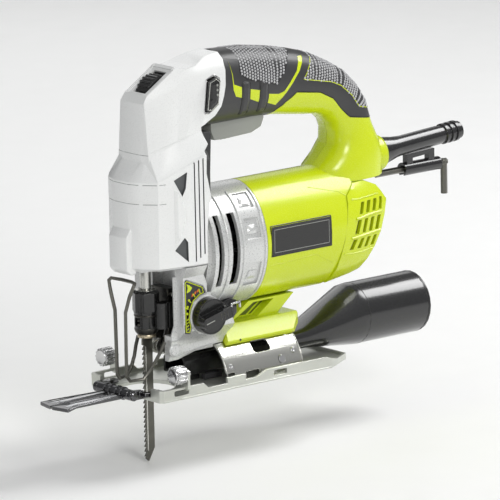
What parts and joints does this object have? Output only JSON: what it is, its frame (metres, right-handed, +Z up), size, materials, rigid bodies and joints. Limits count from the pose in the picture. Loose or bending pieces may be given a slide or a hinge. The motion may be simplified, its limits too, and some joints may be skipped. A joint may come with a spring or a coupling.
{
  "type": "jigsaw",
  "caption": "Corded orbital jigsaw with a D-shaped handle, tilting sole, gear-driven plunger and blade, blade guard wire, line guide, dust tube and stowed hex key.",
  "frame": {"origin": "centre plane of the tool on the sole plate's underside, under the tilt axis", "axes": "+X towards the rear of the tool (cable end), +Y towards the tool's right side, +Z up; the blade points along -Z at the front"},
  "size_m": [0.3472, 0.086, 0.2619],
  "materials": {
    "silver_paint": "satin silver-white paint",
    "cast_metal": "cast, satin",
    "lime_plastic": "lime, gloss",
    "soft_grip": "soft-touch, dark grey",
    "black_plastic": "black, semi-gloss",
    "grey_plastic": "grey, satin",
    "sole_steel": "pressed steel, satin",
    "brushed_steel": "brushed",
    "chrome": "polished",
    "tool_steel": "dark, oiled",
    "dark_steel": "blackened",
    "bronze": "sintered bronze",
    "copper": "copper windings",
    "carbon": "carbon",
    "rubber": "black rubber"
  },
  "bodies": {
    "housing": {"housing_left": "lime_plastic", "housing_right": "lime_plastic", "grip_left": "soft_grip", "grip_right": "soft_grip", "handle_strut": "soft_grip", "rear_cap": "lime_plastic", "badge_plate": "black_plastic", "front_cover": "silver_paint", "gear_case": "cast_metal", "gear_foot": "cast_metal", "dial_label": "black_plastic", "tilt_bracket": "lime_plastic", "stator": "dark_steel", "front_bearing": "brushed_steel", "rear_bearing": "brushed_steel", "bearing_carrier": "black_plastic", "brush_left": "carbon", "brush_right": "carbon", "gear_axle": "brushed_steel", "plunger_frame": "cast_metal", "lower_bush": "bronze", "upper_bush": "bronze", "fork_pin": "brushed_steel", "switch_body": "black_plastic", "speed_module": "dark_steel", "wheel_pin": "brushed_steel", "wire_guard": "tool_steel", "cable_sleeve": "rubber", "key_clip": "black_plastic"},
    "armature": {"armature_shaft": "tool_steel", "armature_core": "copper", "commutator": "copper", "fan": "black_plastic"},
    "gear": {"drive_gear": "tool_steel"},
    "plunger": {"plunger": "brushed_steel", "blade_chuck": "black_plastic", "clamp_ring": "brushed_steel", "saw_blade": "tool_steel"},
    "blade_lever": {"release_lever": "black_plastic"},
    "pendulum": {"pendulum_fork": "dark_steel", "roller_pin": "brushed_steel"},
    "roller": {"guide_roller": "brushed_steel"},
    "knob": {"pendulum_knob": "black_plastic"},
    "trigger": {"trigger": "grey_plastic"},
    "lock": {"lock_button": "black_plastic"},
    "wheel": {"speed_wheel": "black_plastic"},
    "sole": {"sole_plate": "sole_steel", "saddle": "brushed_steel", "saddle_rivet_left": "chrome", "saddle_rivet_right": "chrome", "dust_chute": "black_plastic", "guide_mount_left": "chrome", "guide_mount_right": "chrome", "guide_pin": "chrome"},
    "screw_left": {"thumbscrew_left": "chrome"},
    "screw_right": {"thumbscrew_right": "chrome"},
    "line_guide": {"line_guide": "chrome"},
    "adaptor": {"dust_adaptor": "rubber"},
    "key": {"hex_key": "tool_steel"}
  },
  "joints": [
    {"name": "armature_spin", "type": "hinge", "parent": "housing", "child": "armature", "pos_m": [0, 0, 0.0873], "axis": [1, 0, 0], "continuous": true},
    {"name": "gear_spin", "type": "hinge", "parent": "housing", "child": "gear", "pos_m": [-0.041, 0, 0.1143], "axis": [1, 0, 0], "continuous": true},
    {"name": "plunger_stroke", "type": "slide", "parent": "housing", "child": "plunger", "axis": [0, 0, 1], "range_m": [0, 0.02]},
    {"name": "lever_turn", "type": "hinge", "parent": "plunger", "child": "blade_lever", "pos_m": [-0.058, 0, 0.05], "axis": [0, 0, -1], "range_deg": [0, 40], "stiffness_Nm_per_rad": 0.05},
    {"name": "pendulum_swing", "type": "hinge", "parent": "housing", "child": "pendulum", "pos_m": [-0.0435, 0, 0.062], "axis": [0, -1, 0], "range_deg": [0, 4]},
    {"name": "roller_spin", "type": "hinge", "parent": "pendulum", "child": "roller", "pos_m": [-0.0478, 0, 0.028], "axis": [0, 1, 0], "continuous": true},
    {"name": "knob_turn", "type": "hinge", "parent": "housing", "child": "knob", "pos_m": [-0.03, -0.026, 0.049], "axis": [0, -1, 0], "range_deg": [0, 90]},
    {"name": "trigger_pull", "type": "hinge", "parent": "housing", "child": "trigger", "pos_m": [-0.004, 0, 0.1675], "axis": [0, -1, 0], "range_deg": [0, 6], "stiffness_Nm_per_rad": 1.5},
    {"name": "lock_press", "type": "slide", "parent": "housing", "child": "lock", "axis": [0, 1, 0], "range_m": [0, 0.003], "stiffness_N_per_m": 300},
    {"name": "speed_turn", "type": "hinge", "parent": "housing", "child": "wheel", "pos_m": [-0.0455, 0, 0.1925], "axis": [0, 1, 0], "continuous": true},
    {"name": "bevel_tilt", "type": "hinge", "parent": "housing", "child": "sole", "pos_m": [0, 0, 0], "axis": [1, 0, 0], "range_deg": [-45, 45]},
    {"name": "screw_left_turn", "type": "hinge", "parent": "sole", "child": "screw_left", "pos_m": [-0.0628, -0.037, 0.0165], "axis": [1, 0, 0], "continuous": true},
    {"name": "screw_right_turn", "type": "hinge", "parent": "sole", "child": "screw_right", "pos_m": [-0.0628, 0.037, 0.0165], "axis": [1, 0, 0], "continuous": true},
    {"name": "guide_flip", "type": "hinge", "parent": "sole", "child": "line_guide", "pos_m": [-0.0845, 0, 0.0036], "axis": [0, 1, 0], "range_deg": [0, 90]},
    {"name": "adaptor_pull", "type": "slide", "parent": "sole", "child": "adaptor", "axis": [1, 0, 0], "range_m": [0, 0.012]},
    {"name": "key_slide", "type": "slide", "parent": "housing", "child": "key", "axis": [1, 0, 0], "range_m": [0, 0.04]}
  ],
  "couplings": [
    {"joint": "gear_spin", "follows": "armature_spin", "ratio": -0.25}
  ]
}
